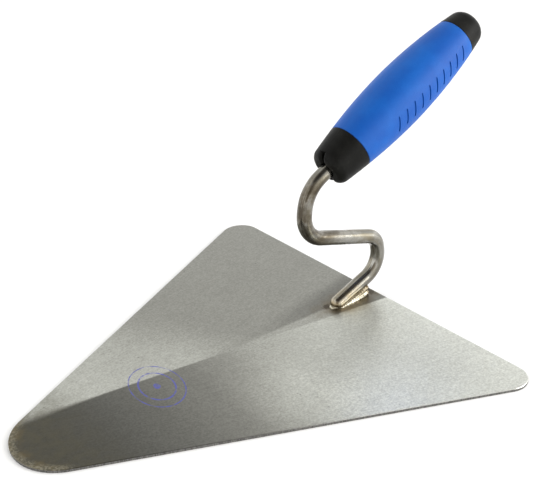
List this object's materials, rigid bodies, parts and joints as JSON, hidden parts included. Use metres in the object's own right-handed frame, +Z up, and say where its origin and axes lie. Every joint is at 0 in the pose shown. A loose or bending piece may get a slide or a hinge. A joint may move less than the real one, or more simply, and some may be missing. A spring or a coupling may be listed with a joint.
{
  "type": "brick trowel",
  "caption": "Brick trowel with a flat triangular stainless blade, a welded swan-neck rod and a two-material grip, for laying and spreading mortar.",
  "frame": {"origin": "on the blade's flat underside, below the middle of the rod's welded foot", "axes": "+X towards the blade's tip, +Y to the left side, +Z up from the blade towards the handle"},
  "size_m": [0.2985, 0.2334, 0.148],
  "materials": {
    "blade_steel": "ground and brushed stainless, matt",
    "rod_steel": "bright drawn stainless with fine scuffs",
    "weld_metal": "cleaned weld bead, slightly straw coloured",
    "core_plastic": "matt black moulded plastic",
    "grip_rubber": "soft satin blue elastomer"
  },
  "bodies": {
    "root": {"blade": "blade_steel", "shank": "rod_steel", "weld_left": "weld_metal", "weld_right": "weld_metal", "handle_core": "core_plastic", "grip_sleeve": "grip_rubber"}
  },
  "joints": []
}
